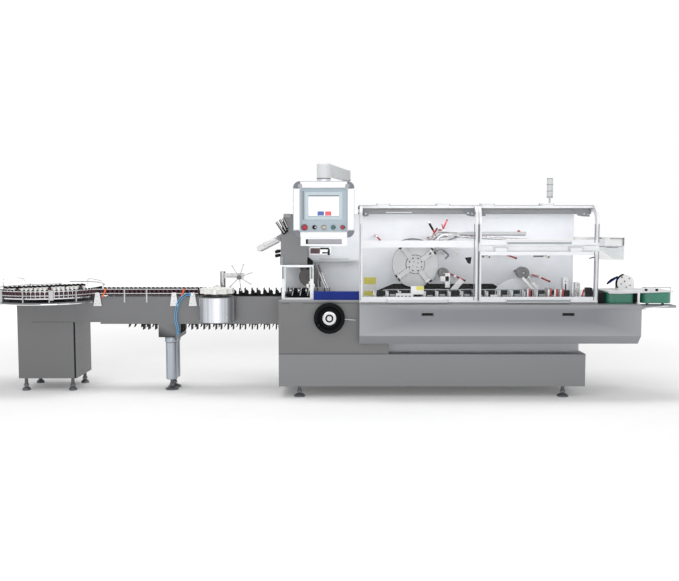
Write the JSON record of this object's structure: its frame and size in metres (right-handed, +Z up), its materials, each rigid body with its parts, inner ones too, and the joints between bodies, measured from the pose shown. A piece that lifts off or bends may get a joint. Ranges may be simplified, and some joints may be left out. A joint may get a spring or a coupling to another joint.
{
  "type": "automatic cartoner",
  "caption": "Continuous cartoning machine: turntable and bucket infeed, glazed guard over the carton rotor and chain, swing-arm operator panel and outfeed belts.",
  "frame": {"origin": "on the floor under the middle of the whole machine", "axes": "+X along the line from infeed to outfeed, +Y from the operator's side to the rear, +Z up"},
  "size_m": [6.8568, 1.607, 2.256],
  "materials": {
    "black_plastic": "black satin",
    "blue_paint": "deep blue satin",
    "bright_chrome": "polished",
    "bright_steel": "bright turned steel",
    "brushed_sheet": "satin brushed stainless sheet",
    "clear_pane": "clear acrylic",
    "dark_sheet": "grey satin sheet",
    "green_belt": "green belt",
    "grey_aluminium": "satin grey aluminium",
    "grey_fascia": "blue-grey satin",
    "grey_plastic": "grey acetal slats",
    "hose_blue": "blue air hose",
    "pale_aluminium": "machined aluminium",
    "pale_paint": "pale grey satin plate",
    "red_plastic": "red lever grips",
    "screen_glass": "lit display behind glass",
    "white_frame": "pale satin aluminium profile",
    "white_paint": "white powder coat",
    "white_plastic": "white polyethylene"
  },
  "bodies": {
    "left_door": {"left_door_frame": "white_frame", "left_door_pane": "clear_pane"},
    "upper_door": {"upper_door_frame": "white_frame", "upper_door_pane": "clear_pane"},
    "lower_door": {"lower_door_frame": "white_frame", "lower_door_pane": "clear_pane"},
    "handwheel": {"handwheel": "black_plastic", "handwheel_hub": "bright_steel"},
    "swing_arm": {"swing_arm": "white_paint"},
    "operator_panel": {"panel_frame": "white_frame", "panel_fascia": "grey_fascia", "panel_screen": "screen_glass", "panel_buttons": "black_plastic", "panel_tray": "white_frame"},
    "turntable": {"turntable_disc": "bright_steel"},
    "star_wheel": {"star_wheel": "white_plastic"},
    "paddle_wheel": {"paddle_wheel": "bright_steel"},
    "suction_rotor": {"suction_rotor": "pale_aluminium"},
    "root": {"arm_post": "white_paint", "back_plate": "pale_paint", "base_plinth": "brushed_sheet", "beacon": "white_plastic", "belt_wheels": "bright_steel", "blue_panel": "blue_paint", "bucket_chain": "black_plastic", "carton_chain": "bright_steel", "carton_guides": "bright_steel", "carton_rails": "bright_steel", "carton_rollers": "grey_plastic", "clamp_levers": "red_plastic", "door_hinges": "grey_aluminium", "front_air_hose": "hose_blue", "front_apron": "brushed_sheet", "guard_frame": "white_frame", "guard_roof": "grey_aluminium", "guide_rails": "bright_chrome", "infeed_conveyor": "brushed_sheet", "infeed_guard": "white_frame", "leaflet_housing": "dark_sheet", "leaflet_parts": "bright_steel", "left_cabinet": "brushed_sheet", "levelling_feet": "bright_steel", "outfeed_belts": "green_belt", "outfeed_covers": "white_paint", "outfeed_frame": "brushed_sheet", "paddle_stand": "bright_steel", "rail_brackets": "brushed_sheet", "rear_air_hose": "hose_blue", "rear_housing": "pale_paint", "right_cabinet": "brushed_sheet", "rotor_shaft": "bright_steel", "slat_belt": "grey_plastic", "star_drum": "brushed_sheet", "support_leg": "brushed_sheet", "table_plate": "brushed_sheet", "turntable_cabinet": "brushed_sheet", "turntable_pan": "brushed_sheet", "upper_chute": "white_paint", "wheel_shaft": "bright_steel"}
  },
  "joints": [
    {"name": "left_door_hinge", "type": "hinge", "parent": "root", "child": "left_door", "pos_m": [0.913, -0.226, 1.893], "axis": [-1, 0, 0], "range_deg": [0, 80]},
    {"name": "upper_door_hinge", "type": "hinge", "parent": "root", "child": "upper_door", "pos_m": [2.066, -0.226, 1.893], "axis": [-1, 0, 0], "range_deg": [0, 80]},
    {"name": "lower_door_hinge", "type": "hinge", "parent": "root", "child": "lower_door", "pos_m": [2.066, -0.4075, 1.467], "axis": [-1, 0, 0], "range_deg": [0, 85]},
    {"name": "handwheel_spin", "type": "hinge", "parent": "root", "child": "handwheel", "pos_m": [0.047, -0.44, 0.79], "axis": [0, -1, 0], "continuous": true},
    {"name": "arm_swing", "type": "hinge", "parent": "root", "child": "swing_arm", "pos_m": [0.217, 0.35, 2.15], "axis": [0, 0, -1], "range_deg": [0, 25]},
    {"name": "panel_swivel", "type": "hinge", "parent": "swing_arm", "child": "operator_panel", "pos_m": [0.001, -0.765, 2.108], "axis": [0, 0, 1], "range_deg": [-45, 45]},
    {"name": "turntable_spin", "type": "hinge", "parent": "root", "child": "turntable", "pos_m": [-2.862, 0.18, 0.975], "axis": [0, 0, 1], "continuous": true},
    {"name": "star_wheel_spin", "type": "hinge", "parent": "root", "child": "star_wheel", "pos_m": [-1.085, -0.096, 1.006], "axis": [0, 0, 1], "continuous": true},
    {"name": "paddle_wheel_spin", "type": "hinge", "parent": "root", "child": "paddle_wheel", "pos_m": [-0.88, 0.062, 1.158], "axis": [0, -1, 0], "continuous": true},
    {"name": "suction_rotor_spin", "type": "hinge", "parent": "root", "child": "suction_rotor", "pos_m": [0.906, -0.095, 1.296], "axis": [0, -1, 0], "continuous": true}
  ]
}
